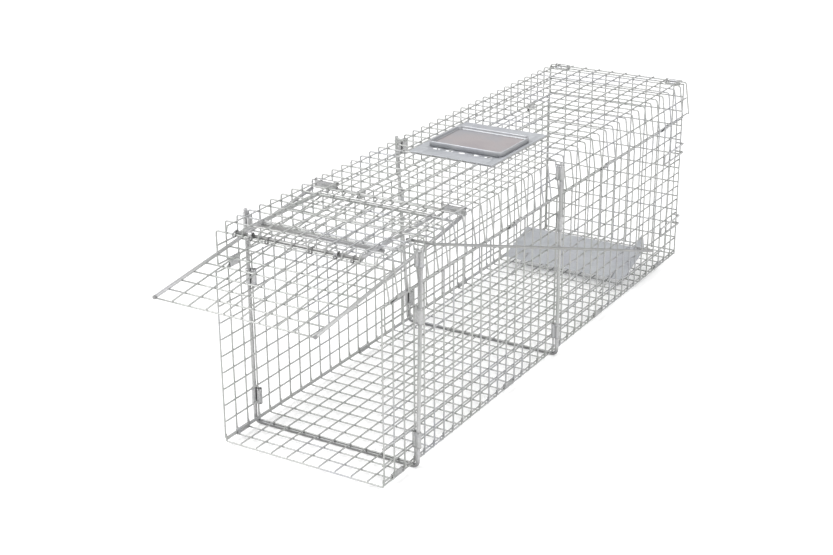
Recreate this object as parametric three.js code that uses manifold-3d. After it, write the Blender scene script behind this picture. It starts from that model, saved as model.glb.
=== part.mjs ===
// Live catch trap: a one-door wire mesh cage with a carrying plate, an overhead door that falls on
// a slope, a drop-down lock frame, a floor treadle and the trigger rod that joins them.
// Millimetres, +X to the right side, +Y from the doorway to the back, +Z up.
// The model is laid out from the doorway's lower left corner and centred on its base at the end.
import * as THREE from 'three';
import { mergeVertices } from 'three/addons/utils/BufferGeometryUtils.js';
import Module from 'manifold-3d';

const wasm = await Module();
wasm.setup();

// ---- driving dimensions ----
const CELL = 25.4; // pitch of the welded mesh
const WIDTH = 9.92 * CELL; // left wall to right wall
const LENGTH = 38 * CELL; // doorway to rear panel
const HEIGHT = 12.25 * CELL; // floor mesh to roof mesh
const SHEET = 2; // thickness of a mesh sheet
const BAR = 4.7; // width of a sheet's bar, which stands for the metal of three wires
const GAP = 0.4; // clearance between pieces that touch

const WALL_BOTTOM = 0.2 * CELL;
const WALL_TOP = 9.7 * CELL;
const REAR_TOP = HEIGHT - 0.2 * CELL;
const WALL_LENGTH = LENGTH - 0.15 * CELL;
const SKIRT_BOTTOM = 10.1 * CELL; // lower wire of the roof's two folded edges
const SKIRT_TOP = HEIGHT - SHEET / 2 - GAP - BAR / 2;
const ROOF_OVERHANG = 0.35 * CELL; // how far the roof passes the right wall

const HOOP_RADIUS = 2.75;
const HOOP_OFFSET = 6.2; // hoop centre line outside the side walls
const HOOP_BEND = 6;

const DOOR_HINGE = { y: 8.72 * CELL, z: HEIGHT - 0.38 * CELL };
const DOOR_LENGTH = 353.7;
const DOOR_EDGE = 6.4; // side rods' distance from the cage walls' middle
const DOOR_SLOPE = THREE.MathUtils.degToRad(6.8); // below level while the trap is set
const DOOR_ROD = 2.5;
const HINGE_ROD = 2;

const LOCK_PIVOT = { y: 7, z: HEIGHT - 6.8 };
const LOCK_LEFT = 1.35 * CELL;
const LOCK_RIGHT = 8.55 * CELL;
const LOCK_BACK = 7.55 * CELL;
const LOCK_CROSS = 2.25 * CELL;
const LOCK_ROD = 2.5;

const TREADLE_PIVOT = { y: 29 * CELL, z: 0 };
const TREADLE_TILT = THREE.MathUtils.degToRad(17);
const TREADLE_LEFT = 0.5 * CELL;
const TREADLE_RIGHT = 9.35 * CELL;
const TREADLE_SHEET = 1.2;

const TRIGGER_ROD = 2;
const TRIGGER_X = WIDTH + 16.2;
const TRIGGER_FRONT = { y: 104, z: HEIGHT - 9.4 };
const TRIGGER_BACK = { y: 32.5 * CELL, z: 53.3 };
const FINGER_END = { x: 8.75 * CELL, y: 110, z: HEIGHT - 13.6 };

const STRIP = 0.9; // sheet metal of the clip sleeves
const SLEEVE_SLIT = 1;

// ---- materials ----
const finish = (name, color, roughness, metalness) => {
  const material = new THREE.MeshStandardMaterial({ color, roughness, metalness });
  material.name = name;
  return material;
};
const meshWire = finish('galvanised_wire', 0xa9aaa6, 0.45, 0.85);
const rodSteel = finish('zinc_rod', 0xb4b5b4, 0.4, 0.85);
const clipSteel = finish('clip_strip', 0x9b9d9c, 0.45, 0.85);
const sheetSteel = finish('galvanised_sheet', 0xa7abb0, 0.5, 0.75);

// ---- helpers ----
const trap = new THREE.Group();
const vec = (x, y, z) => new THREE.Vector3(x, y, z);

function add(name, geometry, material, parent = trap) {
  const mesh = new THREE.Mesh(geometry, material);
  mesh.name = name;
  parent.add(mesh);
  return mesh;
}

// Turns a mesh so that its own x and y axes lie along two world directions.
function lay(mesh, xAxis, yAxis, position) {
  const normal = xAxis.clone().cross(yAxis);
  mesh.quaternion.setFromRotationMatrix(new THREE.Matrix4().makeBasis(xAxis, yAxis, normal));
  mesh.position.copy(position);
  return mesh;
}

const evenly = (from, to, spans) =>
  Array.from({ length: spans + 1 }, (_, i) => from + ((to - from) * i) / spans);

// A flat sheet of crossing bars, in its own x-y plane, centred on its thickness.
function gridSheet(columns, rows) {
  const half = BAR / 2;
  const face = SHEET / 2;
  const low = vec(columns[0] - half, rows[0] - half, -face);
  const high = vec(columns.at(-1) + half, rows.at(-1) + half, face);
  let sheet = toSolid(boxGeometry(low, high));
  for (let i = 0; i + 1 < columns.length; i++) {
    for (let j = 0; j + 1 < rows.length; j++) {
      const start = vec(columns[i] + half, rows[j] + half, -SHEET);
      const end = vec(columns[i + 1] - half, rows[j + 1] - half, SHEET);
      sheet = sheet.subtract(toSolid(boxGeometry(start, end)));
    }
  }
  return toGeometry(sheet);
}

function centredExtrusion(shape, depth) {
  const geometry = new THREE.ExtrudeGeometry(shape, { depth, bevelEnabled: false });
  geometry.translate(0, 0, -depth / 2);
  return geometry;
}

// A path through given points, with one ring of the swept section at each point.
class WirePath extends THREE.Curve {
  constructor(points) {
    super();
    this.points = points;
  }

  getPoint(t) {
    const place = t * (this.points.length - 1);
    const index = Math.min(Math.floor(place), this.points.length - 2);
    return this.points[index].clone().lerp(this.points[index + 1], place - index);
  }

  getPointAt(u) {
    return this.getPoint(u);
  }

  getTangentAt(u) {
    const last = this.points.length - 1;
    const index = Math.round(u * last);
    const here = this.points[index];
    const before = this.points[Math.max(index - 1, 0)];
    const after = this.points[Math.min(index + 1, last)];
    const arriving = here.clone().sub(before).normalize();
    const leaving = after.clone().sub(here).normalize();
    return arriving.add(leaving).normalize();
  }

  getSpacedPoints(count) {
    return this.getPoints(count);
  }
}

// Replaces each inner corner of a line of points by a short arc.
function rounded(corners, bend) {
  const steps = 3;
  const points = [corners[0].clone()];
  for (let i = 1; i + 1 < corners.length; i++) {
    const inward = corners[i - 1].clone().sub(corners[i]).normalize();
    const outward = corners[i + 1].clone().sub(corners[i]).normalize();
    const start = corners[i].clone().addScaledVector(inward, bend);
    const end = corners[i].clone().addScaledVector(outward, bend);
    const arc = new THREE.QuadraticBezierCurve3(start, corners[i], end);
    points.push(...arc.getPoints(steps));
  }
  points.push(corners.at(-1).clone());
  return points;
}

function rodGeometry(corners, radius, bend = 2 * radius) {
  const sides = 8;
  const section = new THREE.Shape();
  for (let i = 0; i < sides; i++) {
    const angle = ((i + 0.5) / sides) * 2 * Math.PI;
    const x = radius * Math.cos(angle);
    const y = radius * Math.sin(angle);
    if (i === 0) section.moveTo(x, y);
    else section.lineTo(x, y);
  }
  section.closePath();
  const points = rounded(corners, bend);
  return new THREE.ExtrudeGeometry(section, {
    steps: points.length - 1,
    extrudePath: new WirePath(points),
  });
}

// A strip bent into a C round a rectangle, running along its own z axis.
function sleeveGeometry(width, height, length) {
  const x = width / 2;
  const y = height / 2;
  const slit = SLEEVE_SLIT / 2;
  const outline = new THREE.Shape([
    new THREE.Vector2(slit, -y - STRIP),
    new THREE.Vector2(x + STRIP, -y - STRIP),
    new THREE.Vector2(x + STRIP, y + STRIP),
    new THREE.Vector2(-x - STRIP, y + STRIP),
    new THREE.Vector2(-x - STRIP, -y - STRIP),
    new THREE.Vector2(-slit, -y - STRIP),
    new THREE.Vector2(-slit, -y),
    new THREE.Vector2(-x, -y),
    new THREE.Vector2(-x, y),
    new THREE.Vector2(x, y),
    new THREE.Vector2(x, -y),
    new THREE.Vector2(slit, -y),
  ]);
  return centredExtrusion(outline, length);
}

// A sleeve whose inside is the box between two corners, running along one of the axes.
function addSleeve(name, along, low, high) {
  const centre = low.clone().add(high).multiplyScalar(0.5);
  const size = high.clone().sub(low);
  const across = { x: ['y', 'z'], y: ['z', 'x'], z: ['x', 'y'] }[along];
  const geometry = sleeveGeometry(size[across[0]], size[across[1]], size[along]);
  const unit = { x: vec(1, 0, 0), y: vec(0, 1, 0), z: vec(0, 0, 1) };
  return lay(add(name, geometry, clipSteel), unit[across[0]], unit[across[1]], centre);
}

function toSolid(geometry) {
  const bare = geometry.index ? geometry.toNonIndexed() : geometry.clone();
  bare.deleteAttribute('normal');
  bare.deleteAttribute('uv');
  const merged = mergeVertices(bare, 1e-4);
  const vertProperties = new Float32Array(merged.attributes.position.array);
  const triVerts = new Uint32Array(merged.index.array);
  return new wasm.Manifold(new wasm.Mesh({ numProp: 3, vertProperties, triVerts }));
}

function toGeometry(solid) {
  const mesh = solid.getMesh();
  const geometry = new THREE.BufferGeometry();
  geometry.setAttribute('position', new THREE.BufferAttribute(mesh.vertProperties, 3));
  geometry.setIndex(new THREE.BufferAttribute(mesh.triVerts, 1));
  geometry.computeVertexNormals();
  return geometry;
}

function boxGeometry(low, high) {
  const size = high.clone().sub(low);
  const geometry = new THREE.BoxGeometry(size.x, size.y, size.z);
  geometry.translate((low.x + high.x) / 2, (low.y + high.y) / 2, (low.z + high.z) / 2);
  return geometry;
}

// ---- mesh sheets ----
const inCells = (cells) => cells.map((count) => count * CELL);
const ALONG = inCells([0, 2.9, 5.9, 9, 12, 15, 18.2, 21, 24, 27, 30, 33, 36]);
const ACROSS = evenly(0, WIDTH, 3);

function addCage() {
  const full = [...ALONG, LENGTH];
  const side = [...ALONG, WALL_LENGTH];
  const x = vec(1, 0, 0);
  const y = vec(0, 1, 0);
  const z = vec(0, 0, 1);
  add('floor_mesh', gridSheet(ACROSS, full), meshWire);
  const roofColumns = evenly(0, WIDTH + ROOF_OVERHANG, 3);
  add('roof_mesh', gridSheet(roofColumns, full), meshWire).position.z = HEIGHT;
  const wallRows = evenly(WALL_BOTTOM, WALL_TOP, 3);
  lay(add('left_wall_mesh', gridSheet(side, wallRows), meshWire), y, z, vec(0, 0, 0));
  lay(add('right_wall_mesh', gridSheet(side, wallRows), meshWire), y, z, vec(WIDTH, 0, 0));
  const rearRows = evenly(WALL_BOTTOM, REAR_TOP, 4);
  lay(add('rear_panel_mesh', gridSheet(ACROSS, rearRows), meshWire), x, z, vec(0, LENGTH, 0));
  const skirtRows = [SKIRT_BOTTOM, SKIRT_TOP];
  lay(add('roof_left_edge', gridSheet(side, skirtRows), meshWire), y, z, vec(0, 0, 0));
  const outside = vec(WIDTH + ROOF_OVERHANG, 0, 0);
  lay(add('roof_right_edge', gridSheet(side, skirtRows), meshWire), y, z, outside);
}

// ---- the two bent hoops outside the cage ----
const HOOPS = [
  {
    name: 'front',
    low: 2.95 * CELL,
    bar: 2.9 * CELL,
    left: { y: 2.95 * CELL, z: 12.2 * CELL },
    right: { y: 2.9 * CELL, z: 12 * CELL },
  },
  {
    name: 'middle',
    low: 19.1 * CELL,
    bar: 18.2 * CELL,
    left: { y: 17.95 * CELL, z: 12.2 * CELL },
    right: { y: 18.4 * CELL, z: 12.1 * CELL },
  },
];
const HOOP_FLARE = 8; // how far the right leg leans out at its top
const HOOP_LOW = -HOOP_RADIUS - SHEET / 2 - GAP;

function legAt(hoop, side, height) {
  const share = (height - HOOP_LOW) / (hoop[side].z - HOOP_LOW);
  const y = hoop.low + share * (hoop[side].y - hoop.low);
  const x = side === 'left' ? -HOOP_OFFSET : WIDTH + HOOP_OFFSET + share * HOOP_FLARE;
  return vec(x, y, height);
}

function addHoop(hoop) {
  const corners = [
    legAt(hoop, 'left', hoop.left.z),
    legAt(hoop, 'left', HOOP_LOW),
    legAt(hoop, 'right', HOOP_LOW),
    legAt(hoop, 'right', hoop.right.z),
  ];
  add(`${hoop.name}_hoop`, rodGeometry(corners, HOOP_RADIUS, HOOP_BEND), rodSteel);
}

function addHoopSleeves(hoop) {
  const half = 0.45 * CELL;
  const levels = { lower: 1.4 * CELL, middle: 8.4 * CELL, upper: 11.5 * CELL };
  const lean = 1.2; // room for the leg's slope inside the straight sleeve
  for (const side of ['left', 'right']) {
    for (const [level, height] of Object.entries(levels)) {
      const leg = legAt(hoop, side, height);
      const rightX = level === 'upper' ? WIDTH + ROOF_OVERHANG : WIDTH;
      const sheetX = side === 'left' ? 0 : rightX;
      const reach = HOOP_RADIUS + GAP;
      const inner = SHEET / 2 + GAP;
      const bar = Math.abs(leg.y - hoop.bar) < reach + BAR ? hoop.bar : leg.y;
      const y0 = Math.min(leg.y - reach, bar - BAR / 2 - GAP) - lean / 2;
      const y1 = Math.max(leg.y + reach, bar + BAR / 2 + GAP) + lean / 2;
      const x0 = side === 'left' ? leg.x - reach : sheetX - inner;
      const x1 = side === 'left' ? sheetX + inner : leg.x + reach + lean / 2;
      const name = `${hoop.name}_hoop_${side}_${level}_sleeve`;
      addSleeve(name, 'z', vec(x0, y0, height - half), vec(x1, y1, height + half));
    }
  }
}

// ---- sleeves that join one sheet to the next ----
const EDGE_PLACES = { 1: 1.4 * CELL, 2: 13.5 * CELL, 3: 25.5 * CELL, 4: 35 * CELL };

function addEdgeSleeves() {
  const half = 0.5 * CELL;
  const wide = BAR / 2 + GAP;
  const thin = SHEET / 2 + GAP;
  for (const [side, x] of Object.entries({ left: 0, right: WIDTH })) {
    const overhang = side === 'right' ? ROOF_OVERHANG : 0;
    for (const [place, y] of Object.entries(EDGE_PLACES)) {
      addSleeve(
        `${side}_bottom_sleeve_${place}`,
        'y',
        vec(x - wide, y - half, -thin),
        vec(x + wide, y + half, WALL_BOTTOM + wide),
      );
      addSleeve(
        `${side}_top_sleeve_${place}`,
        'y',
        vec(x - thin, y - half, WALL_TOP - wide),
        vec(x + overhang + thin, y + half, SKIRT_BOTTOM + wide),
      );
    }
    const rearX = side === 'left' ? 0.9 * CELL : 9.1 * CELL;
    addSleeve(
      `rear_top_${side}_sleeve`,
      'x',
      vec(rearX - half, LENGTH - wide, REAR_TOP - wide),
      vec(rearX + half, LENGTH + wide, HEIGHT + thin),
    );
  }
}

// Two bent wires at the right rear corner hook the rear panel to the side wall.
function addRearHooks() {
  const radius = 1.5;
  const x = WIDTH + BAR / 2 + GAP + radius;
  const back = LENGTH + SHEET / 2 + GAP + radius;
  const front = 34.9 * CELL;
  const hold = 10;
  for (const [name, low, high] of [['upper', 7.35, 7.95], ['lower', 2.25, 2.8]]) {
    const corners = [
      vec(WIDTH - hold, back, low * CELL),
      vec(x, back, low * CELL),
      vec(x, front, low * CELL),
      vec(x, front, high * CELL),
      vec(x, back, high * CELL),
      vec(WIDTH - hold, back, high * CELL),
    ];
    add(`rear_${name}_hook`, rodGeometry(corners, radius, 3), rodSteel);
  }
}

// ---- door ----
// Built in its own frame: origin on the hinge line, the free edge towards -y, and z off the
// door's upper face.
function addDoor() {
  const door = new THREE.Group();
  door.position.set(0, DOOR_HINGE.y, DOOR_HINGE.z);
  door.rotation.x = DOOR_SLOPE;
  trap.add(door);
  const sideX = DOOR_EDGE;
  const bars = evenly(sideX + DOOR_ROD + GAP + BAR / 2, WIDTH - sideX - DOOR_ROD - GAP - BAR / 2, 3);
  const hingeEnd = -8.5;
  const rows = evenly(-DOOR_LENGTH, hingeEnd - BAR / 2, 5);
  add('door_mesh', gridSheet(bars, rows), meshWire, door);
  for (const [side, x] of Object.entries({ left: sideX, right: WIDTH - sideX })) {
    const rod = [vec(x, -DOOR_LENGTH - BAR / 2, 0), vec(x, hingeEnd, 0)];
    add(`door_${side}_rod`, rodGeometry(rod, DOOR_ROD), rodSteel, door);
  }
  const hingeRod = [vec(sideX - 2, 0, 0), vec(WIDTH - sideX + 2, 0, 0)];
  add('door_hinge_rod', rodGeometry(hingeRod, HINGE_ROD), rodSteel, door);
  addDoorCatch(door);
}

// The wire welded to the door, with a hook at each end. The trigger rod's finger lies under the
// right hook and holds the door up.
function addDoorCatch(door) {
  const radius = 1.25;
  const y = -115.9;
  const tip = y + 8;
  const foot = SHEET / 2 + GAP + radius;
  const top = 14.4;
  const left = 8 * CELL;
  const right = 9.1 * CELL;
  const corners = [
    vec(left, tip, top),
    vec(left, y, top),
    vec(left, y, foot),
    vec(right, y, foot),
    vec(right, y, top),
    vec(right, tip, top),
  ];
  add('door_catch', rodGeometry(corners, radius, 2.5), rodSteel, door);
}

function addHingeSleeves() {
  const half = 0.7 * CELL;
  const roofBar = 9 * CELL;
  const room = HINGE_ROD + 0.6;
  for (const [side, x] of Object.entries({ left: 0.95 * CELL, right: 8.97 * CELL })) {
    addSleeve(
      `door_hinge_${side}_sleeve`,
      'x',
      vec(x - half, DOOR_HINGE.y - room, DOOR_HINGE.z - room),
      vec(x + half, roofBar + BAR / 2 + GAP, HEIGHT + SHEET / 2 + GAP),
    );
  }
}

// ---- lock frame ----
function addLock() {
  const { y, z } = LOCK_PIVOT;
  const overhang = 5;
  const ringHalf = 3;
  const armFront = y + LOCK_ROD + GAP;
  const crossZ = z - 2 * LOCK_ROD - GAP;
  const frame = [
    vec(LOCK_LEFT, armFront, z),
    vec(LOCK_LEFT, LOCK_BACK, z),
    vec(LOCK_RIGHT, LOCK_BACK, z),
    vec(LOCK_RIGHT, armFront, z),
  ];
  const pivotBar = [vec(LOCK_LEFT - overhang, y, z), vec(LOCK_RIGHT + overhang, y, z)];
  const crossBar = [
    vec(LOCK_LEFT - overhang, LOCK_CROSS, crossZ),
    vec(LOCK_RIGHT + overhang, LOCK_CROSS, crossZ),
  ];
  add('lock_frame', rodGeometry(frame, LOCK_ROD), rodSteel);
  add('lock_pivot_bar', rodGeometry(pivotBar, LOCK_ROD), rodSteel);
  add('lock_cross_bar', rodGeometry(crossBar, LOCK_ROD), rodSteel);
  for (const [side, x] of Object.entries({ left: 2.2 * CELL, right: 7.35 * CELL })) {
    addSleeve(
      `lock_pivot_${side}_ring`,
      'x',
      vec(x - ringHalf, -BAR / 2 - GAP, z - LOCK_ROD - GAP),
      vec(x + ringHalf, y + LOCK_ROD + GAP, HEIGHT + SHEET / 2 + GAP),
    );
  }
}

// ---- treadle ----
// Built in its own frame: origin on the pivot line, y towards the back along the sloping plate.
function addTreadle() {
  const treadle = new THREE.Group();
  treadle.position.set(0, TREADLE_PIVOT.y, TREADLE_PIVOT.z);
  treadle.rotation.x = TREADLE_TILT;
  trap.add(treadle);
  const front = 1.6 * CELL;
  const back = 5.2 * CELL;
  const low = -1.7;
  const high = low + TREADLE_SHEET;
  const pin = vec(0, TRIGGER_BACK.y - TREADLE_PIVOT.y, TRIGGER_BACK.z - TREADLE_PIVOT.z);
  pin.applyAxisAngle(vec(1, 0, 0), -TREADLE_TILT);
  const earFront = pin.y - 24;
  const earTop = pin.z + 7;
  const flangeFront = front + 32;
  const flangeDrop = 2.5;
  const slotRun = 4; // how far the rod may slide forward in the ear
  const inner = TREADLE_RIGHT - TREADLE_SHEET;
  const room = TRIGGER_ROD + 0.9;
  const plate = boxGeometry(vec(TREADLE_LEFT, front, low), vec(TREADLE_RIGHT, back, high));
  const flange = boxGeometry(
    vec(inner, flangeFront, low - flangeDrop),
    vec(TREADLE_RIGHT, earFront - 4, high),
  );
  const ear = boxGeometry(vec(inner, earFront, low), vec(TREADLE_RIGHT, back, earTop));
  const slot = boxGeometry(
    vec(inner - 1, pin.y - room - slotRun, pin.z - room),
    vec(TREADLE_RIGHT + 1, pin.y + room, pin.z + room),
  );
  const solid = toSolid(plate).add(toSolid(flange)).add(toSolid(ear).subtract(toSolid(slot)));
  add('treadle_plate', toGeometry(solid), sheetSteel, treadle);
  addTreadleHooks(treadle, front, high);
}

// Two wires on the plate, curled round the floor wire that the treadle turns on.
function addTreadleHooks(treadle, front, plateTop) {
  const radius = 1.25;
  const above = plateTop + GAP + radius;
  const tail = 20; // length of the wire that lies on the plate
  const curl = 2.9;
  for (const [side, x] of Object.entries({ left: 1.95 * CELL, right: 8.45 * CELL })) {
    const corners = [
      vec(x, front + tail, above),
      vec(x, 1.6 * curl, above),
      vec(x, 0.5 * curl, curl),
      vec(x, -curl, curl / 2),
      vec(x, -curl, -curl / 2),
      vec(x, 0, -curl),
    ];
    add(`treadle_${side}_hook`, rodGeometry(corners, radius, 0.8), rodSteel, treadle);
  }
}

// ---- trigger rod, from the treadle's ear up the right side to the door's catch ----
function addTrigger() {
  const corners = [
    vec(FINGER_END.x, FINGER_END.y, FINGER_END.z),
    vec(TRIGGER_X, TRIGGER_FRONT.y, TRIGGER_FRONT.z),
    vec(TRIGGER_X, TRIGGER_BACK.y, TRIGGER_BACK.z),
    vec(TREADLE_RIGHT - 5, TRIGGER_BACK.y, TRIGGER_BACK.z),
  ];
  add('trigger_rod', rodGeometry(corners, TRIGGER_ROD, 8), rodSteel);
}

// ---- carrying plate on the roof ----
function addHandle() {
  const floor = HEIGHT + SHEET / 2 + GAP;
  const thick = 1.2;
  const x0 = 2.15 * CELL;
  const x1 = 7.65 * CELL;
  const y0 = 15.4 * CELL;
  const y1 = 22.2 * CELL;
  const gripX = [2.75 * CELL, 7.3 * CELL];
  const gripY = [16.75 * CELL, 20.5 * CELL];
  const slotDepth = 9;
  const slotInset = 10;
  let plate = toSolid(boxGeometry(vec(x0, y0, floor), vec(x1, y1, floor + thick)));
  for (const start of [gripY[0] - slotDepth + 2, gripY[1] - 2]) {
    const low = vec(gripX[0] + slotInset, start, floor - 1);
    const high = vec(gripX[1] - slotInset, start + slotDepth, floor + thick + 1);
    plate = plate.subtract(toSolid(boxGeometry(low, high)));
  }
  add('handle_plate', toGeometry(plate), sheetSteel);
  const foot = floor + thick + GAP;
  const rim = 6;
  const rise = 8;
  const outer = boxGeometry(vec(gripX[0], gripY[0], foot), vec(gripX[1], gripY[1], foot + rise));
  const inner = boxGeometry(
    vec(gripX[0] + rim, gripY[0] + rim, foot - 1),
    vec(gripX[1] - rim, gripY[1] - rim, foot + rise + 1),
  );
  add('handle_rim', toGeometry(toSolid(outer).subtract(toSolid(inner))), rodSteel);
}

addCage();
HOOPS.forEach(addHoop);
HOOPS.forEach(addHoopSleeves);
addEdgeSleeves();
addRearHooks();
addDoor();
addHingeSleeves();
addLock();
addTreadle();
addTrigger();
addHandle();

// The origin goes to the middle of the base of the whole object, as it stands when set.
trap.updateMatrixWorld(true);
const box = new THREE.Box3().setFromObject(trap, true);
const middle = box.getCenter(new THREE.Vector3());
trap.position.set(-middle.x, -middle.y, -box.min.z);

export default trap;
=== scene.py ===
"""Looks of the live catch trap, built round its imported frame. Metres, +Z up.

Places are counted in cells of the welded mesh from the lower left corner of the cage's doorway:
x to the right, y to the back, z up. at() turns them into the frame's metres. A number times MM is
in metres, and mm() gives millimetres in cells.
"""

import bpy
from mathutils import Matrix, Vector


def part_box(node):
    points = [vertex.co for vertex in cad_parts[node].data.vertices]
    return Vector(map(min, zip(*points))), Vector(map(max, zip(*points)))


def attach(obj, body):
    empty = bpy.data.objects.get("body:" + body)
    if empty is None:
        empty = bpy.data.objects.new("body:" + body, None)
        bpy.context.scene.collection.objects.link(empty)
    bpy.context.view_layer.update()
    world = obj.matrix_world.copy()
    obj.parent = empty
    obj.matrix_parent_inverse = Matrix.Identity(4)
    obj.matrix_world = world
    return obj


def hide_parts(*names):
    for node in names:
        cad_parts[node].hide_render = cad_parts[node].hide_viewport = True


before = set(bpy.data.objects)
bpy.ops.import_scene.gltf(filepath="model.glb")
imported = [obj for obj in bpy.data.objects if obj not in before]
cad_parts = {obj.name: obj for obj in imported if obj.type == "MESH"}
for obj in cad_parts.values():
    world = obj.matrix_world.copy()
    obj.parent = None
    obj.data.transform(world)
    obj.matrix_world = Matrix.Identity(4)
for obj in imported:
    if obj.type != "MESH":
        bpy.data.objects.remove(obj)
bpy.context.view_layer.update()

import math
import random

import bpy
from mathutils import Quaternion, Vector

# ---- driving dimensions ----
CELL = 0.0254  # one cell of the mesh, in metres
MM = 0.001
WIDTH = 9.92
LENGTH = 38.0
HEIGHT = 12.25
CAD_BAR_HALF = 2.35 * MM
WIRE = 1.15 * MM / CELL  # radius of the mesh wire
CLIP_WIRE = 1.4 * MM  # inside radius of a strip clip round mesh wires
REAR_CLIP_WIRE = 1.8 * MM
TREADLE_SHEET = 1.2 * MM
PLATE_SHEET = 1.2 * MM
PAN_SHEET = 0.8 * MM
ROOF_RIGHT = WIDTH + 0.13  # where the roof's cross wires bend down on the right
SKIRT_RIGHT = WIDTH + 0.43  # and where they end, leaning outwards
WALL_TOP = 9.7
SKIRT_LOW = 10.12
SKIRT_MID = 11.16

floor_low, floor_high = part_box("floor_mesh")
ORIGIN = Vector((
    floor_low[0] + CAD_BAR_HALF,
    floor_low[1] + CAD_BAR_HALF,
    (floor_low[2] + floor_high[2]) / 2,
))

shuffle = random.Random(7)


def at(x, y, z):
    """A place in cells as a point of the frame, in metres."""
    return ORIGIN + Vector((x, y, z)) * CELL


def mm(value):
    """Millimetres in cells."""
    return value * MM / CELL


# ---- materials ----
def new_material(name):
    material = bpy.data.materials.new(name)
    material.use_nodes = True
    nodes = material.node_tree.nodes
    nodes.clear()
    output = nodes.new("ShaderNodeOutputMaterial")
    shader = nodes.new("ShaderNodeBsdfPrincipled")
    material.node_tree.links.new(shader.outputs["BSDF"], output.inputs["Surface"])
    return material, nodes, material.node_tree.links, shader


def noise(nodes, links, coordinates, scale, detail=3.0, rough=0.55):
    node = nodes.new("ShaderNodeTexNoise")
    node.inputs["Scale"].default_value = scale
    node.inputs["Detail"].default_value = detail
    node.inputs["Roughness"].default_value = rough
    links.new(coordinates, node.inputs["Vector"])
    return node.outputs["Fac"]


def ramp(nodes, links, value, stops):
    node = nodes.new("ShaderNodeValToRGB")
    elements = node.color_ramp.elements
    while len(elements) < len(stops):
        elements.new(0.5)
    for element, (position, color) in zip(elements, stops):
        element.position = position
        element.color = (*color, 1.0)
    links.new(value, node.inputs["Fac"])
    return node.outputs["Color"]


def to_range(nodes, links, value, low, high):
    node = nodes.new("ShaderNodeMapRange")
    node.inputs["To Min"].default_value = low
    node.inputs["To Max"].default_value = high
    links.new(value, node.inputs["Value"])
    return node.outputs["Result"]


def mix_colors(nodes, links, factor, first, second, mode="MIX"):
    node = nodes.new("ShaderNodeMix")
    node.data_type = "RGBA"
    node.blend_type = mode
    if isinstance(factor, float):
        node.inputs["Factor"].default_value = factor
    else:
        links.new(factor, node.inputs["Factor"])
    links.new(first, node.inputs["A"])
    links.new(second, node.inputs["B"])
    return node.outputs["Result"]


def shaded_below(nodes, links, place, color, low, high, share):
    """Paints shade: darkens a colour to a share of itself at the lower of two heights and below, back
    to full tone by the higher.
    """
    split = nodes.new("ShaderNodeSeparateXYZ")
    links.new(place, split.inputs["Vector"])
    height = nodes.new("ShaderNodeMapRange")
    height.inputs["From Min"].default_value = low
    height.inputs["From Max"].default_value = high
    links.new(split.outputs["Z"], height.inputs["Value"])
    shade = ramp(nodes, links, height.outputs["Result"], [(0.0, (share,) * 3), (1.0, (1.0,) * 3)])
    return mix_colors(nodes, links, 1.0, color, shade, "MULTIPLY")


def zinc(name, tones, grain, roughness, metallic, bump, drift=9.0, contrast=0.22, shade_below=None):
    """Galvanised steel: a slow drift between tones, a fine spangle, and uneven gloss, with an optional
    painted shade that darkens it below a height.
    """
    material, nodes, links, shader = new_material(name)
    place = nodes.new("ShaderNodeTexCoord").outputs["Object"]
    slow = noise(nodes, links, place, drift, 2.0)
    fine = noise(nodes, links, place, grain, 5.0, 0.65)
    base = ramp(nodes, links, slow, [(0.3, tones[0]), (0.5, tones[1]), (0.7, tones[2])])
    dark, light = 1 - contrast, 1 + 0.7 * contrast
    speck = ramp(nodes, links, fine, [(0.3, (dark,) * 3), (0.5, (1.0,) * 3), (0.72, (light,) * 3)])
    color = mix_colors(nodes, links, 1.0, base, speck, "MULTIPLY")
    # painted shade: the colour darkens towards the bottom
    if shade_below:
        color = shaded_below(nodes, links, place, color, *shade_below)
    links.new(color, shader.inputs["Base Color"])
    gloss = to_range(nodes, links, fine, roughness[0], roughness[1])
    links.new(gloss, shader.inputs["Roughness"])
    shader.inputs["Metallic"].default_value = metallic
    relief = nodes.new("ShaderNodeBump")
    relief.inputs["Strength"].default_value = bump
    relief.inputs["Distance"].default_value = 0.1 * MM
    links.new(fine, relief.inputs["Height"])
    links.new(relief.outputs["Normal"], shader.inputs["Normal"])
    return material


WIRE_ZINC = zinc(
    "wire_zinc",
    [(0.42, 0.435, 0.42), (0.47, 0.475, 0.465), (0.45, 0.455, 0.475)],
    900.0, (0.32, 0.55), 0.75, 0.35,
)
ROD_ZINC = zinc(
    "rod_zinc",
    [(0.44, 0.45, 0.44), (0.50, 0.50, 0.50), (0.47, 0.47, 0.49)],
    700.0, (0.3, 0.5), 0.78, 0.25,
)
CLIP_ZINC = zinc(
    "clip_zinc",
    [(0.40, 0.41, 0.405), (0.47, 0.47, 0.47), (0.43, 0.435, 0.45)],
    420.0, (0.3, 0.5), 0.85, 0.3, 60.0,
)
# Painted shade: the hoops darken to half their tone near the ground, from 16 mm up down to 6 mm.
HOOP_ZINC = zinc(
    "hoop_zinc",
    [(0.44, 0.45, 0.44), (0.50, 0.50, 0.50), (0.47, 0.47, 0.49)],
    700.0, (0.3, 0.5), 0.78, 0.25, shade_below=(6 * MM, 16 * MM, 0.5),
)
BAR_ZINC = zinc(
    "bar_zinc",
    [(0.30, 0.305, 0.30), (0.36, 0.36, 0.355), (0.33, 0.33, 0.34)],
    700.0, (0.35, 0.55), 0.75, 0.25,
)
SHEET_ZINC = zinc(
    "sheet_zinc",
    [(0.46, 0.475, 0.50), (0.52, 0.535, 0.56), (0.49, 0.50, 0.535)],
    240.0, (0.42, 0.6), 0.6, 0.12, 26.0, 0.08,
)
RIM_FOOT = HEIGHT + mm(3.0)  # the foot of the rim on the carrying plate
# Painted shade on the rim's outer wall: 0.6 of its tone 3 mm up the rim and below, full tone from 7.4
# mm up.
RIM_SHADE_FOOT = at(0, 0, RIM_FOOT + mm(3.0)).z
RIM_SHADE_TOP = at(0, 0, RIM_FOOT + mm(7.4)).z
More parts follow.
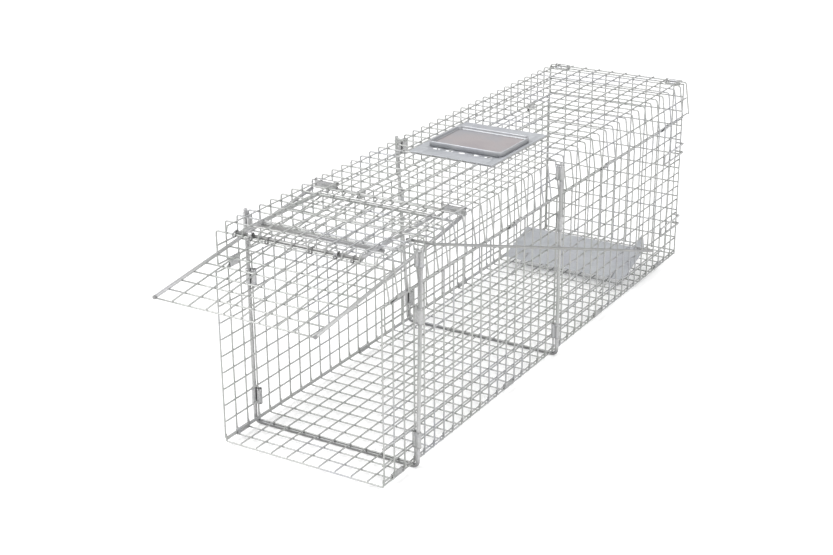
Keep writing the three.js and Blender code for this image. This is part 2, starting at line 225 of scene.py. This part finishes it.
RIM_ZINC = zinc(
    "rim_zinc",
    [(0.46, 0.475, 0.50), (0.54, 0.55, 0.57), (0.49, 0.50, 0.535)],
    240.0, (0.35, 0.5), 0.65, 0.12, 26.0, 0.08, shade_below=(RIM_SHADE_FOOT, RIM_SHADE_TOP, 0.6),
)
# Painted reflection: the pan is the same pressed sheet as the plate, given a darker, pinkish tone for
# the reflection it shows.
PAN_ZINC = zinc(
    "pan_zinc",
    [(0.36, 0.33, 0.34), (0.39, 0.36, 0.365), (0.35, 0.35, 0.37)],
    300.0, (0.55, 0.7), 0.35, 0.1, 16.0, 0.06,
)
TIE_STEEL = zinc(
    "tie_steel",
    [(0.24, 0.24, 0.24), (0.32, 0.32, 0.32), (0.28, 0.28, 0.29)],
    500.0, (0.35, 0.55), 0.7, 0.3, 60.0,
)


# ---- mesh building ----
def piece(name, vertices, faces, material, body, stands_for=()):
    mesh = bpy.data.meshes.new(name)
    mesh.from_pydata([tuple(v) for v in vertices], [], faces)
    mesh.validate()
    mesh.shade_smooth()
    obj = bpy.data.objects.new(name, mesh)
    bpy.context.scene.collection.objects.link(obj)
    obj.data.materials.append(material)
    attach(obj, body)
    if stands_for:
        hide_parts(*stands_for)
    return obj


def rounded(corners, bend, steps=5):
    """Replaces each inner corner by a short curve that starts a bend's length before it."""
    points = [corners[0]]
    for before, corner, after in zip(corners, corners[1:], corners[2:]):
        start = corner + (before - corner).normalized() * bend
        end = corner + (after - corner).normalized() * bend
        for i in range(steps + 1):
            t = i / steps
            points.append(start * (1 - t) ** 2 + corner * 2 * t * (1 - t) + end * t * t)
    points.append(corners[-1])
    return points


def stretched(start, end, spacing):
    """Points along a straight line about a given spacing apart."""
    count = max(1, round((end - start).length / spacing))
    return [start.lerp(end, i / count) for i in range(count + 1)]


CHAMFER = 0.3  # length of a wire's chamfered end, as a share of its radius
TIP = 0.72  # radius of its end face, likewise


class Wirework:
    """Tubes gathered into one mesh."""

    def __init__(self, sides=6):
        self.sides = sides
        self.vertices = []
        self.faces = []

    def ring(self, centre, across, over, radius):
        """Adds one ring of vertices and gives the number of its first."""
        first = len(self.vertices)
        for k in range(self.sides):
            angle = 2 * math.pi * k / self.sides
            offset = across * math.cos(angle) + over * math.sin(angle)
            self.vertices.append(centre + offset * radius)
        return first

    def bridge(self, first, second):
        for k in range(self.sides):
            following = (k + 1) % self.sides
            self.faces.append((first + k, first + following, second + following, second + k))

    def tube(self, points, radius, closed=False):
        """A round wire through points in metres, with chamfered ends."""
        count = len(points)
        tangents = []
        for i in range(count):
            before = points[i - 1] if closed or i else points[0]
            after = points[(i + 1) % count] if closed or i + 1 < count else points[-1]
            tangents.append((after - before).normalized())
        guide = Vector((0, 0, 1)) if abs(tangents[0].z) < 0.9 else Vector((1, 0, 0))
        across = tangents[0].cross(guide).normalized()
        rings = []
        for point, tangent in zip(points, tangents):
            across = (across - tangent * across.dot(tangent)).normalized()
            over = tangent.cross(across)
            if not rings and not closed:
                rings.append(self.ring(point, across, over, radius * TIP))
                rings.append(self.ring(point + tangent * radius * CHAMFER, across, over, radius))
            elif point is points[-1] and not closed:
                rings.append(self.ring(point - tangent * radius * CHAMFER, across, over, radius))
                rings.append(self.ring(point, across, over, radius * TIP))
            else:
                rings.append(self.ring(point, across, over, radius))
        for first, second in zip(rings, rings[1:]):
            self.bridge(first, second)
        if closed:
            self.bridge(rings[-1], rings[0])
        else:
            self.faces.append(tuple(rings[0] + k for k in reversed(range(self.sides))))
            self.faces.append(tuple(rings[-1] + k for k in range(self.sides)))

    def wire(self, start, end, sway=0.12):
        """A straight mesh wire between two places in cells, slightly uneven along its length."""
        points = stretched(at(*start), at(*end), 2 * CELL)
        limit = sway * MM
        for point in points[1:-1]:
            point += Vector([shuffle.uniform(-limit, limit) for _ in range(3)])
        self.tube(points, WIRE * CELL)

    def bent_wire(self, corners, bend):
        """A mesh wire with rounded bends, through places in cells."""
        points = rounded([at(*corner) for corner in corners], bend * CELL)
        self.tube(points, WIRE * CELL)

    def make(self, name, material, body, stands_for=()):
        return piece(name, self.vertices, self.faces, material, body, stands_for)


def rod(name, corners, radius, body, stands_for=(), bend=0.0, material=ROD_ZINC, sides=16):
    """One thick wire through places in metres."""
    work = Wirework(sides)
    points = rounded(corners, bend) if bend else list(corners)
    work.tube(points, radius)
    return work.make(name, material, body, stands_for)


# ---- the welded mesh sheets ----
FLOOR_LONG = [0.0] + [0.96 + k for k in range(9)] + [WIDTH]
WALL_ROWS = [0.2 + 0.95 * k for k in range(11)]
REAR_COLUMNS = [0.0] + [1.27 + 0.995 * k for k in range(9)] + [WIDTH]
REAR_TOP = HEIGHT - 0.2
REAR_ROWS = [0.2 + k for k in range(12)] + [REAR_TOP]
ROOF_LONG = [0.7 + k for k in range(10)]
ROOF_CROSS = [0.92 + 0.975 * k for k in range(38)] + [LENGTH + 0.05]
LIP_LOW = HEIGHT - 0.33
LIP_Y = 0.08


def floor_sheet():
    work = Wirework()
    for x in FLOOR_LONG:
        work.wire((x, 0, WIRE), (x, LENGTH, WIRE))
    for y in range(int(LENGTH) + 1):
        edge = WIRE * 0.2
        work.bent_wire([
            (edge, y, 0.38),
            (edge, y, -WIRE),
            (WIDTH - edge, y, -WIRE),
            (WIDTH - edge, y, 0.38),
        ], 0.08)
    work.make("floor_wires", WIRE_ZINC, "cage", ["floor_mesh"])


def wall_sheet(side, x):
    work = Wirework()
    inside = 1 if side == "left" else -1
    for z in WALL_ROWS:
        work.wire((x + inside * WIRE, 0, z), (x + inside * WIRE, LENGTH - 0.12, z))
    for k in range(int(LENGTH) + 1):
        y = min(float(k), LENGTH - 0.15)
        work.wire((x - inside * WIRE, y, WALL_ROWS[0] - 0.05), (x - inside * WIRE, y, WALL_TOP + 0.05))
    work.make(f"{side}_wall_wires", WIRE_ZINC, "cage", [f"{side}_wall_mesh"])


def rear_sheet():
    work = Wirework()
    for z in REAR_ROWS:
        work.wire((0, LENGTH + WIRE, z), (WIDTH, LENGTH + WIRE, z))
    for x in REAR_COLUMNS:
        work.wire((x, LENGTH - WIRE, 0.15), (x, LENGTH - WIRE, REAR_TOP + 0.05))
    work.make("rear_wires", WIRE_ZINC, "cage", ["rear_panel_mesh"])


def skirt_right(z):
    """The middle of a wire that runs along the inside of the right skirt at a height."""
    share = (HEIGHT - z) / (HEIGHT - SKIRT_LOW)
    return ROOF_RIGHT + (SKIRT_RIGHT - ROOF_RIGHT) * share - WIRE * 2


def roof_sheet():
    work = Wirework()
    for x in ROOF_LONG:
        work.bent_wire([
            (x, LIP_Y - WIRE, LIP_LOW - 0.05),
            (x, LIP_Y + 0.08, HEIGHT + WIRE),
            (x, LENGTH + 0.08, HEIGHT + WIRE),
        ], 0.1)
    for z in (SKIRT_MID, SKIRT_LOW):
        work.wire((WIRE * 2, 0.02, z), (WIRE * 2, LENGTH, z))
        right = skirt_right(z)
        work.wire((right, 0.02, z), (right, LENGTH, z))
    for y in [LIP_Y + WIRE] + ROOF_CROSS:
        top = HEIGHT - WIRE if y in ROOF_CROSS else LIP_LOW
        work.bent_wire([
            (0, y, SKIRT_LOW - 0.05),
            (0, y, top),
            (ROOF_RIGHT, y, top),
            (SKIRT_RIGHT, y, SKIRT_LOW - 0.05),
        ], 0.15)
    nodes = ["roof_mesh", "roof_left_edge", "roof_right_edge"]
    work.make("roof_wires", WIRE_ZINC, "cage", nodes)


# ---- hoops ----
HOOP_RADIUS = 2.75 * MM
HOOP_LOW = mm(-4.15)
HOOP_OUT = mm(6.2)
HOOP_FLARE = mm(8.0)  # how far the right legs lean outwards at their tops
HOOP_GAP = mm(5.4)  # from a right leg's middle to the wall wire that its clips hold
HOOPS = {
    "front": {"low": 2.95, "left": (2.95, 12.2), "right": (2.9, 12.0)},
    "middle": {"low": 19.1, "left": (17.95, 12.2), "right": (18.4, 12.1)},
}


def leg_at(hoop, side, z):
    """The middle of a hoop's leg at a height."""
    top_y, top_z = hoop[side]
    share = (z - HOOP_LOW) / (top_z - HOOP_LOW)
    y = hoop["low"] + share * (top_y - hoop["low"])
    x = -HOOP_OUT if side == "left" else WIDTH + HOOP_OUT + share * HOOP_FLARE
    return x, y, z


def hoops():
    for name, hoop in HOOPS.items():
        corners = [
            at(*leg_at(hoop, "left", hoop["left"][1])),
            at(*leg_at(hoop, "left", HOOP_LOW)),
            at(*leg_at(hoop, "right", HOOP_LOW)),
            at(*leg_at(hoop, "right", hoop["right"][1])),
        ]
        rod(f"{name}_hoop_rod", corners, HOOP_RADIUS, "cage", [f"{name}_hoop"], 9 * MM, HOOP_ZINC)


# ---- strip clips and wire ties ----
STRIP = 0.9 * MM
ROD_ROOM = 0.3 * MM  # clearance between a rod and the strip round it
ACROSS = {"x": 1, "y": 0, "z": 0}  # an axis across a clip that runs along another
ARC = 9  # steps round each end of a clip's section
SIDE = 6  # steps along each of its sides


def clip_section(half, radius, seam):
    """The outline of a strip round two wires: half-round ends, waisted sides and an open seam."""
    dip = 0.45 * radius if half > 0.5 * radius else 0.0
    points = []

    def side(start, end, sign):
        for k in range(SIDE + 1):
            u = start + (end - start) * k / SIDE
            waist = dip * math.cos(math.pi / 2 * u / half) ** 2 if dip else 0.0
            points.append((u, sign * (radius - waist)))

    def arc(middle, first_angle):
        for k in range(1, ARC):
            angle = first_angle + math.pi * k / ARC
            points.append((middle + radius * math.cos(angle), radius * math.sin(angle)))

    side(min(seam, half), half, -1)
    arc(half, -math.pi / 2)
    side(half, -half, 1)
    arc(-half, math.pi / 2)
    side(-half, -min(seam, half), -1)
    return points


def clip(node, along, first, second, length, inside):
    """A strip rolled round two wires, whose middles are given in cells; inside is its radius."""
    pair = [at(*first), at(*second)]
    axis = Vector([float(name == along) for name in "xyz"])
    middle = (pair[0] + pair[1]) / 2
    run = pair[1] - pair[0]
    run -= axis * run.dot(axis)
    half = run.length / 2
    if half > 0.1 * MM:
        wide = run.normalized()
    else:
        wide = Vector([float(i == ACROSS[along]) for i in range(3)])
    over = axis.cross(wide)
    rings = 7
    flare = 0.08
    seam = 0.35 * inside
    vertices = []
    for j in range(rings):
        t = 2 * j / (rings - 1) - 1
        radius = inside * (1 + flare * t ** 4)
        for thickness in (STRIP, 0.0):
            for u, v in clip_section(half, radius + thickness, seam):
                vertices.append(middle + wide * u + over * v + axis * (length / 2 * t))
    loop = len(vertices) // (2 * rings)
    ring = 2 * loop
    faces = []
    for j in range(rings - 1):
        start = j * ring
        for k in range(loop - 1):
            outer = start + k
            inner = start + loop + k
            faces.append((outer, outer + 1, outer + 1 + ring, outer + ring))
            faces.append((inner + 1, inner, inner + ring, inner + 1 + ring))
        for k, turn in ((0, 1), (loop - 1, -1)):
            edge = (start + k, start + k + ring, start + loop + k + ring, start + loop + k)
            faces.append(edge[::turn])
    for j, turn in ((0, 1), (rings - 1, -1)):
        start = j * ring
        for k in range(loop - 1):
            edge = (start + k, start + loop + k, start + loop + k + 1, start + k + 1)
            faces.append(edge[::turn])
    piece(f"{node}_strip", vertices, faces, CLIP_ZINC, "cage", [node])


def in_cells(node):
    """The middle of a node's box in cells, and its size in metres."""
    low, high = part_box(node)
    middle = ((Vector(low) + Vector(high)) / 2 - ORIGIN) / CELL
    return middle, Vector(high) - Vector(low)


def nearest(places, y):
    """The one of some places that lies closest to y."""
    return min(places, key=lambda place: abs(place - y))


def hoop_clips():
    walls = [float(k) for k in range(int(LENGTH) + 1)]
    for name, hoop in HOOPS.items():
        for side in ("left", "right"):
            for level in ("lower", "middle", "upper"):
                node = f"{name}_hoop_{side}_{level}_sleeve"
                middle, size = in_cells(node)
                leg = leg_at(hoop, side, middle.z)
                wires = ROOF_CROSS if level == "upper" else walls
                y = nearest(wires, leg[1])
                x = WIRE if side == "left" else leg[0] - HOOP_GAP
                clip(node, "z", leg, (x, y, middle.z), size.z, HOOP_RADIUS + ROD_ROOM)


def edge_clips():
    for side in ("left", "right"):
        outward = -1 if side == "left" else 1
        wall = 0.0 if side == "left" else WIDTH
        skirt = WIRE * 2 if side == "left" else skirt_right(SKIRT_LOW)
        for place in range(1, 5):
            node = f"{side}_bottom_sleeve_{place}"
            middle, size = in_cells(node)
            inner = wall - outward * WIRE
            low = (inner, middle.y, WIRE)
            high = (inner, middle.y, WALL_ROWS[0])
            clip(node, "y", low, high, size.y, CLIP_WIRE)
            node = f"{side}_top_sleeve_{place}"
            middle, size = in_cells(node)
            low = (inner, middle.y, WALL_TOP)
            high = (skirt, middle.y, SKIRT_LOW)
            clip(node, "y", low, high, 0.8 * size.y, CLIP_WIRE)
        node = f"rear_top_{side}_sleeve"
        middle, size = in_cells(node)
        low = (middle.x, LENGTH + WIRE, REAR_TOP)
        high = (middle.x, LENGTH + 0.05, HEIGHT - WIRE)
        clip(node, "x", low, high, size.x, REAR_CLIP_WIRE)
        node = f"door_hinge_{side}_sleeve"
        middle, size = in_cells(node)
        low = (middle.x, HINGE_Y, HINGE_Z)
        high = (middle.x, nearest(ROOF_CROSS, HINGE_Y), HEIGHT - WIRE)
        clip(node, "x", low, high, size.x, HINGE_ROD + ROD_ROOM)


TIE_PLACES = (1.2, 2.2, 3.2, 5.85, 7.3, 8.3)
TIE_RADIUS = 3.2 * MM
TIE_WIRE = 0.55 * MM
TIE_STEPS = 9


def lip_ties():
    """Wire ties that hold the lock's pivot bar to the roof's front lip, two turns each."""
    work = Wirework(8)
    low = at(0, LIP_Y, LIP_LOW)
    high = at(0, LOCK_Y, LOCK_Z)
    run = (high - low).normalized()
    over = Vector((1, 0, 0)).cross(run)
    for place in TIE_PLACES:
        for turn in (-0.6, 0.6):
            side = Vector((place * CELL + turn * MM, 0, 0))
            points = []
            for middle, start in ((high, -math.pi / 2), (low, math.pi / 2)):
                for k in range(TIE_STEPS + 1):
                    angle = start + math.pi * k / TIE_STEPS
                    offset = (run * math.cos(angle) + over * math.sin(angle)) * TIE_RADIUS
                    points.append(middle + side + offset)
            work.tube(points, TIE_WIRE, closed=True)
    work.make("lip_ties", TIE_STEEL, "cage")


# ---- rear hooks ----
def rear_hooks():
    radius = 1.5 * MM
    x = WIDTH + mm(4.25)
    back = LENGTH + mm(2.9)
    front = 34.9
    hold = WIDTH - mm(10)
    for name, low, high in (("upper", 7.35, 7.95), ("lower", 2.25, 2.8)):
        corners = [
            at(hold, back, low),
            at(x, back, low),
            at(x, front, low),
            at(x, front, high),
            at(x, back, high),
            at(hold, back, high),
        ]
        rod(f"rear_{name}_hook_wire", corners, radius, "cage", [f"rear_{name}_hook"], 3 * MM)


# ---- door ----
HINGE_ROD = 2.0 * MM
HINGE_Y = 8.72
HINGE_Z = HEIGHT - 0.38
DOOR_SLOPE = math.radians(6.8)
DOOR_LENGTH = mm(356.05)
DOOR_EDGE = mm(6.4)
DOOR_ROD = 2.5 * MM
CAP_RADIUS = 2.75 * MM
DOOR_LONG = [1.38 + 1.025 * k for k in range(8)]
DOOR_CROSS = [DOOR_LENGTH - WIRE - k for k in range(15)]
CATCH_X = (8, 9.1)
CATCH_RADIUS = 1.25 * MM


def on_door(x, reach, lift):
    """A place on the door: reach cells from its hinge towards the free edge, lift off its face."""
    y = HINGE_Y - reach * math.cos(DOOR_SLOPE) - lift * math.sin(DOOR_SLOPE)
    z = HINGE_Z - reach * math.sin(DOOR_SLOPE) + lift * math.cos(DOOR_SLOPE)
    return x, y, z


def door():
    work = Wirework()
    hinge_reach = mm(8.5)
    left = DOOR_EDGE
    right = WIDTH - DOOR_EDGE
    for x in DOOR_LONG:
        work.wire(on_door(x, hinge_reach, WIRE), on_door(x, DOOR_LENGTH, WIRE))
    for reach in DOOR_CROSS:
        work.wire(on_door(left - 0.05, reach, -WIRE), on_door(right + 0.05, reach, -WIRE))
    work.make("door_wires", WIRE_ZINC, "door", ["door_mesh"])
    for side, x in (("left", left), ("right", right)):
        line = [at(*on_door(x, DOOR_LENGTH, 0)), at(*on_door(x, hinge_reach, 0))]
        rod(f"door_{side}_stiffener", line, DOOR_ROD, "door", [f"door_{side}_rod"])
        tip = [at(*on_door(x, DOOR_LENGTH + mm(length), 0)) for length in (-3, 1.2)]
        rod(f"door_{side}_cap", tip, CAP_RADIUS, "door", material=TIE_STEEL)
    line = [at(left - mm(2), HINGE_Y, HINGE_Z), at(right + mm(2), HINGE_Y, HINGE_Z)]
    rod("door_hinge_pin", line, HINGE_ROD, "door", ["door_hinge_rod"])
    reach = mm(115.9)
    tip = reach - mm(8)
    foot = mm(2.65)
    top = mm(14.4)
    first, second = CATCH_X
    corners = [
        at(*on_door(first, tip, top)),
        at(*on_door(first, reach, top)),
        at(*on_door(first, reach, foot)),
        at(*on_door(second, reach, foot)),
        at(*on_door(second, reach, top)),
        at(*on_door(second, tip, top)),
    ]
    rod("door_catch_wire", corners, CATCH_RADIUS, "door", ["door_catch"], 2.5 * MM)


# ---- lock frame ----
LOCK_Y = mm(7)
LOCK_Z = HEIGHT - mm(6.8)
LOCK_LEFT = 1.35
LOCK_RIGHT = 8.55
LOCK_BACK = 7.55
LOCK_CROSS = 2.25
LOCK_ROD = 2.5 * MM


def lock_frame():
    overhang = mm(5)
    arm_front = LOCK_Y + mm(2.9)
    cross_z = LOCK_Z - mm(5.4)
    corners = [
        at(LOCK_LEFT, arm_front, LOCK_Z),
        at(LOCK_LEFT, LOCK_BACK, LOCK_Z),
        at(LOCK_RIGHT, LOCK_BACK, LOCK_Z),
        at(LOCK_RIGHT, arm_front, LOCK_Z),
    ]
    rod("lock_frame_rod", corners, LOCK_ROD, "lock", ["lock_frame"], 5 * MM)
    for name, y, z in (("pivot", LOCK_Y, LOCK_Z), ("cross", LOCK_CROSS, cross_z)):
        line = [at(LOCK_LEFT - overhang, y, z), at(LOCK_RIGHT + overhang, y, z)]
        rod(f"lock_{name}_rod", line, LOCK_ROD, "lock", [f"lock_{name}_bar"], material=BAR_ZINC)
    for side in ("left", "right"):
        node = f"lock_pivot_{side}_ring"
        middle, size = in_cells(node)
        clip(node, "x", middle, middle, size.x, LOCK_ROD + ROD_ROOM)


# ---- treadle ----
TREADLE_Y = 29.0
TREADLE_TILT = math.radians(17)
TREADLE_LEFT = 0.5
TREADLE_RIGHT = 9.35
TRIGGER_BACK = (32.5, mm(53.3))  # where the trigger rod passes through the treadle's ear: y, z


def on_treadle(x, reach, lift):
    """A place on the treadle: reach cells from its pivot up the plate, lift off its face."""
    y = TREADLE_Y + reach * math.cos(TREADLE_TILT) - lift * math.sin(TREADLE_TILT)
    z = reach * math.sin(TREADLE_TILT) + lift * math.cos(TREADLE_TILT)
    return x, y, z


EDGE_BEVEL = 0.3 * MM


def sheet_thickness(obj, thickness, bevel):
    solid = obj.modifiers.new("thickness", "SOLIDIFY")
    solid.thickness = thickness
    solid.offset = 0
    edge = obj.modifiers.new("edges", "BEVEL")
    edge.width = bevel
    edge.segments = 2
    edge.limit_method = "ANGLE"


def treadle():
    front = 1.6
    back = 5.2
    middle = mm(-0.45)
    inner = TREADLE_RIGHT - mm(0.6)
    columns = 24
    rows = 10
    vertices = []
    faces = []
    for j in range(rows + 1):
        for i in range(columns + 1):
            x = TREADLE_LEFT + (inner - TREADLE_LEFT) * i / columns
            y = front + (back - front) * j / rows
            vertices.append(at(*on_treadle(x, y, middle)))
    for j in range(rows):
        for i in range(columns):
            first = j * (columns + 1) + i
            faces.append((first, first + 1, first + columns + 2, first + columns + 1))
    plate = piece("treadle_sheet", vertices, faces, SHEET_ZINC, "treadle", ["treadle_plate"])
    sheet_thickness(plate, TREADLE_SHEET, EDGE_BEVEL)
    treadle_side(inner, front, back, middle)
    radius = 1.25 * MM
    above = mm(1.15)
    curl = mm(2.9)
    for side, x in (("left", 1.95), ("right", 8.45)):
        corners = [
            at(*on_treadle(x, front + mm(20), above)),
            at(*on_treadle(x, 1.6 * curl, above)),
            at(*on_treadle(x, 0.5 * curl, curl)),
            at(*on_treadle(x, -curl, curl / 2)),
            at(*on_treadle(x, -curl, -curl / 2)),
            at(*on_treadle(x, 0, -curl)),
        ]
        name = f"treadle_{side}_hook"
        rod(f"{name}_wire", corners, radius, "treadle", [name], 0.8 * MM, sides=10)


def treadle_side(x, front, back, level):
    """The folded right side: a short flange below the plate, and the ear with the rod's slot."""
    pin_y = TRIGGER_BACK[0] - TREADLE_Y
    pin_z = TRIGGER_BACK[1]
    c, s = math.cos(TREADLE_TILT), math.sin(TREADLE_TILT)
    reach = pin_y * c + pin_z * s
    lift = pin_z * c - pin_y * s
    room = mm(2.9)
    slide = mm(4)
    ear_front = reach - mm(24)
    slot_front = reach - room - slide
    slot_back = reach + room
    top = lift + mm(7)
    ys = [ear_front, slot_front, slot_back, back]
    zs = [level, lift - room, lift + room, top]
    vertices = [at(*on_treadle(x, y, z)) for z in zs for y in ys]
    faces = []
    for j in range(3):
        for i in range(3):
            if (i, j) == (1, 1):
                continue
            first = j * 4 + i
            faces.append((first, first + 1, first + 5, first + 4))
    start = len(vertices)
    flange_depth = mm(3.1)
    flange_front = front + mm(32)
    flange_back = ear_front - mm(4)
    for z in (level, level - flange_depth):
        for y in (flange_front, flange_back):
            vertices.append(at(*on_treadle(x, y, z)))
    faces.append((start, start + 1, start + 3, start + 2))
    ear = piece("treadle_ear", vertices, faces, SHEET_ZINC, "treadle")
    sheet_thickness(ear, TREADLE_SHEET, EDGE_BEVEL)


# ---- trigger rod ----
def trigger():
    """The rod outside the right wall, with its finger under the door's catch in front."""
    radius = 2 * MM
    x = WIDTH + mm(16.2)
    corners = [
        at(8.75, mm(110), HEIGHT - mm(13.6)),
        at(x, mm(104), HEIGHT - mm(9.4)),
        at(x, TRIGGER_BACK[0], TRIGGER_BACK[1]),
        at(TREADLE_RIGHT - mm(5), TRIGGER_BACK[0], TRIGGER_BACK[1]),
    ]
    rod("trigger_wire", corners, radius, "trigger", ["trigger_rod"], 8 * MM, BAR_ZINC)


# ---- carrying plate ----
PLATE_X = (2.15, 7.65)
PLATE_Y = (15.4, 22.2)
GRIP_X = (2.6, 7.45)
GRIP_Y = (16.75, 20.5)
PLATE_Z = HEIGHT + mm(2.0)


def holed_quad(x0, x1, y0, y1, vertices, faces, hole=0.62):
    """A flat rectangle with an oval hole."""
    steps = 24
    first = len(vertices)
    cx, cy = (x0 + x1) / 2, (y0 + y1) / 2
    hx, hy = (x1 - x0) / 2, (y1 - y0) / 2
    for k in range(steps):
        angle = 2 * math.pi * (k + 0.5) / steps
        c, s = math.cos(angle), math.sin(angle)
        stretch = 1 / max(abs(c), abs(s))
        vertices.append(at(cx + c * stretch * hx, cy + s * stretch * hy, PLATE_Z))
        vertices.append(at(cx + c * hole * hx, cy + s * hole * hy, PLATE_Z))
    for k in range(steps):
        a = first + 2 * k
        b = first + 2 * ((k + 1) % steps)
        faces.append((a, b, b + 1, a + 1))


def carrying_plate():
    vertices = []
    faces = []
    row = 0.42
    ys = [PLATE_Y[0], GRIP_Y[0] - row, GRIP_Y[0] + 0.05, GRIP_Y[1] - 0.05, GRIP_Y[1] + row, PLATE_Y[1]]
    xs = [PLATE_X[0], GRIP_X[0] + 0.3, GRIP_X[1] - 0.3, PLATE_X[1]]
    for j in range(5):
        for i in range(3):
            if i == 1 and j in (1, 3):
                holes = 5
                for k in range(holes):
                    x0 = xs[1] + (xs[2] - xs[1]) * k / holes
                    x1 = xs[1] + (xs[2] - xs[1]) * (k + 1) / holes
                    holed_quad(x0, x1, ys[j], ys[j + 1], vertices, faces)
                continue
            first = len(vertices)
            for x, y in ((i, j), (i + 1, j), (i + 1, j + 1), (i, j + 1)):
                vertices.append(at(xs[x], ys[y], PLATE_Z))
            faces.append((first, first + 1, first + 2, first + 3))
    plate = piece("carrying_plate", vertices, faces, SHEET_ZINC, "cage", ["handle_plate"])
    sheet_thickness(plate, PLATE_SHEET, EDGE_BEVEL)


def grip_rim():
    """The pressed rim round the pan: rounded rectangles lofted over a rolled edge."""
    # inset and lift of each loop, in millimetres, from the outside foot over to the pan
    profile = [
        (0.0, 0.0), (0.2, 3.0), (0.4, 6.0), (0.7, 7.5), (1.2, 8.0),
        (1.7, 7.5), (2.0, 6.0), (2.3, 4.4), (2.9, 3.2), (4.0, 2.6),
    ]
    corner_steps = 6
    loops = []
    vertices = []
    for inset, lift in profile:
        loop = []
        radius = max(0.12, 0.35 - mm(inset))
        x0, x1 = GRIP_X[0] + mm(inset), GRIP_X[1] - mm(inset)
        y0, y1 = GRIP_Y[0] + mm(inset), GRIP_Y[1] - mm(inset)
        centres = [(x1 - radius, y1 - radius), (x0 + radius, y1 - radius),
                   (x0 + radius, y0 + radius), (x1 - radius, y0 + radius)]
        for quarter, (cx, cy) in enumerate(centres):
            for k in range(corner_steps + 1):
                angle = math.pi / 2 * (quarter + k / corner_steps)
                x = cx + radius * math.cos(angle)
                y = cy + radius * math.sin(angle)
                loop.append(len(vertices))
                vertices.append(at(x, y, RIM_FOOT + mm(lift)))
        loops.append(loop)
    faces = []
    for lower, upper in zip(loops, loops[1:]):
        count = len(lower)
        for k in range(count):
            faces.append((lower[k], lower[(k + 1) % count], upper[(k + 1) % count], upper[k]))
    rim = piece("grip_rim", vertices, faces, RIM_ZINC, "cage", ["handle_rim"])
    solid = rim.modifiers.new("thickness", "SOLIDIFY")
    solid.thickness = PAN_SHEET
    solid.offset = -1
    inner = [vertices[k] for k in loops[-1]]
    centre = sum(inner, Vector()) / len(inner)
    count = len(inner)
    pan_vertices = inner + [centre + (v - centre) * 0.96 for v in inner]
    pan_faces = [(k, (k + 1) % count, count + (k + 1) % count, count + k) for k in range(count)]
    pan_faces.append(tuple(range(count, 2 * count)))
    pan = piece("grip_pan", pan_vertices, pan_faces, PAN_ZINC, "cage")
    solid = pan.modifiers.new("thickness", "SOLIDIFY")
    solid.thickness = PAN_SHEET
    solid.offset = -1


# ---- stage, light and camera ----
def stage():
    mesh = bpy.data.meshes.new("ground")
    size = 30.0
    corners = [(-size, -size, 0), (size, -size, 0), (size, size, 0), (-size, size, 0)]
    mesh.from_pydata(corners, [], [(0, 1, 2, 3)])
    ground = bpy.data.objects.new("ground", mesh)
    bpy.context.scene.collection.objects.link(ground)
    material, nodes, links, shader = new_material("pale_ground")
    place = nodes.new("ShaderNodeTexCoord").outputs["Object"]
    cloud = noise(nodes, links, place, 0.6, 1.0)
    tone = ramp(nodes, links, cloud, [(0.3, (0.9,) * 3), (0.7, (0.92,) * 3)])
    links.new(tone, shader.inputs["Base Color"])
    shader.inputs["Roughness"].default_value = 0.9
    shader.inputs["Specular IOR Level"].default_value = 0.1
    shader.inputs["Emission Color"].default_value = (1.0, 1.0, 1.0, 1.0)
    shader.inputs["Emission Strength"].default_value = 0.2
    mesh.materials.append(material)


# name, place and size in metres, power in watts
LAMPS = (
    ("key", (-1.6, -1.8, 2.6), 1.6, 60.0),
    ("fill", (2.6, -0.6, 1.8), 1.8, 22.0),
    ("back", (0.6, 2.6, 2.4), 1.6, 26.0),
)
LAMP_AIM = (0, 0, 0.15)


def lights():
    world = bpy.data.worlds.new("studio")
    bpy.context.scene.world = world
    world.use_nodes = True
    nodes = world.node_tree.nodes
    links = world.node_tree.links
    background = nodes["Background"]
    place = nodes.new("ShaderNodeTexCoord").outputs["Generated"]
    split = nodes.new("ShaderNodeSeparateXYZ")
    links.new(place, split.inputs["Vector"])
    sky = [(0.0, (0.62,) * 3), (0.35, (0.7,) * 3), (0.8, (1.0,) * 3)]
    tone = ramp(nodes, links, split.outputs["Z"], sky)
    links.new(tone, background.inputs["Color"])
    background.inputs["Strength"].default_value = 0.9
    for name, place, size, power in LAMPS:
        light = bpy.data.lights.new(name, "AREA")
        light.size = size
        light.energy = power
        lamp = bpy.data.objects.new(name, light)
        lamp.location = place
        aim = Vector(LAMP_AIM) - Vector(place)
        lamp.rotation_euler = aim.to_track_quat("-Z", "Y").to_euler()
        bpy.context.scene.collection.objects.link(lamp)


def camera():
    place = (47.59, -58.85, 39.46)
    azimuth = math.radians(31.2)
    elevation = math.radians(21.9)
    roll = math.radians(0.4)
    data = bpy.data.cameras.new("camera")
    data.sensor_width = 36
    data.lens = 68.1
    data.clip_end = 100
    cam = bpy.data.objects.new("camera", data)
    forward = Vector((
        -math.sin(azimuth) * math.cos(elevation),
        math.cos(azimuth) * math.cos(elevation),
        -math.sin(elevation),
    ))
    cam.location = at(*place)
    cam.rotation_mode = "QUATERNION"
    cam.rotation_quaternion = Quaternion(forward, roll) @ forward.to_track_quat("-Z", "Y")
    bpy.context.scene.collection.objects.link(cam)
    bpy.context.scene.camera = cam


floor_sheet()
wall_sheet("left", 0.0)
wall_sheet("right", WIDTH)
rear_sheet()
roof_sheet()
hoops()
hoop_clips()
edge_clips()
rear_hooks()
door()
lock_frame()
lip_ties()
treadle()
trigger()
carrying_plate()
grip_rim()
stage()
lights()
camera()
bpy.context.scene.view_settings.view_transform = "Standard"
